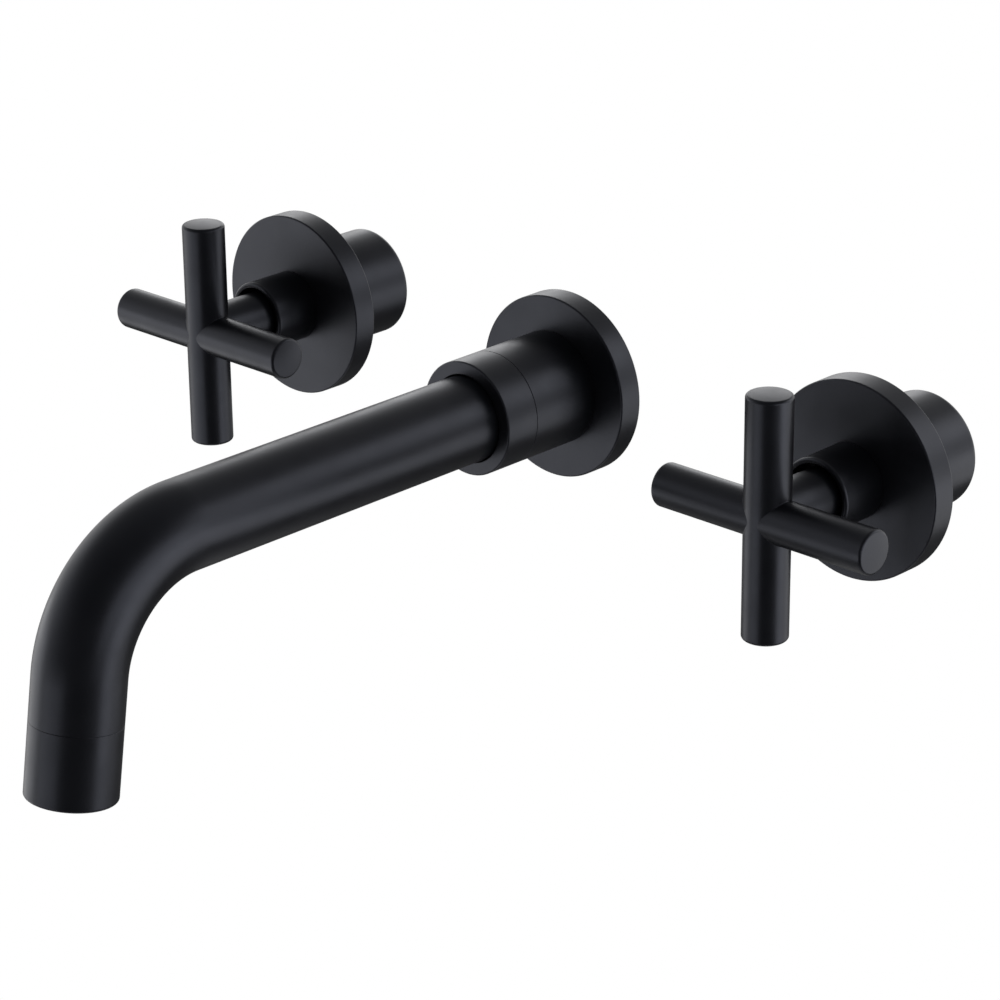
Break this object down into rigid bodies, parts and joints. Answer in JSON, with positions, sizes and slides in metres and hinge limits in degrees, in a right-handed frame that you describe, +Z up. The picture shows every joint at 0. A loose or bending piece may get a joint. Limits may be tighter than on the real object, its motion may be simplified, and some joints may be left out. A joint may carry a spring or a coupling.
{
  "type": "wall mounted bath faucet",
  "caption": "Wall mounted bath faucet with cross handles on round valves either side of a long round spout bent down at its end.",
  "frame": {"origin": "on the spout's axis, on the wall's surface, at the mouth of the spout's inlet", "axes": "+X from the hot valve to the cold valve, +Y into the wall, +Z up"},
  "size_m": [0.2694, 0.2137, 0.0929],
  "materials": {
    "black_finish": "satin black coating on brass",
    "brass": "machined",
    "steel": "plain stainless",
    "rubber": "matte",
    "ceramic": "lapped",
    "plastic": "moulded"
  },
  "bodies": {
    "faucet_base": {"hot_sleeve": "black_finish", "hot_flange": "black_finish", "hot_flange_gasket": "rubber", "hot_valve_body": "black_finish", "hot_cartridge_body": "brass", "hot_cartridge_o_ring": "rubber", "hot_fixed_disc": "ceramic", "hot_seat_seal": "rubber", "cold_sleeve": "black_finish", "cold_flange": "black_finish", "cold_flange_gasket": "rubber", "cold_valve_body": "black_finish", "cold_cartridge_body": "brass", "cold_cartridge_o_ring": "rubber", "cold_fixed_disc": "ceramic", "cold_seat_seal": "rubber", "spout_flange": "black_finish", "spout_flange_gasket": "rubber", "collar_sleeve": "black_finish", "collar_ring": "black_finish", "retaining_ring": "steel", "spout_adapter": "brass", "spout_o_rings": "rubber", "spout_tube": "black_finish", "aerator_housing": "black_finish", "aerator_washer": "rubber", "aerator_insert": "plastic"},
    "hot_handle": {"hot_cross_handle": "black_finish", "hot_handle_screw": "steel", "hot_stem": "brass", "hot_stem_clip": "steel", "hot_stem_o_rings": "rubber", "hot_moving_disc": "ceramic"},
    "cold_handle": {"cold_cross_handle": "black_finish", "cold_handle_screw": "steel", "cold_stem": "brass", "cold_stem_clip": "steel", "cold_stem_o_rings": "rubber", "cold_moving_disc": "ceramic"}
  },
  "joints": [
    {"name": "hot_handle_turn", "type": "hinge", "parent": "faucet_base", "child": "hot_handle", "pos_m": [-0.1016, -0.0398, 0], "axis": [0, -1, 0], "range_deg": [0, 90]},
    {"name": "cold_handle_turn", "type": "hinge", "parent": "faucet_base", "child": "cold_handle", "pos_m": [0.1016, -0.0398, 0], "axis": [0, 1, 0], "range_deg": [0, 90]}
  ]
}
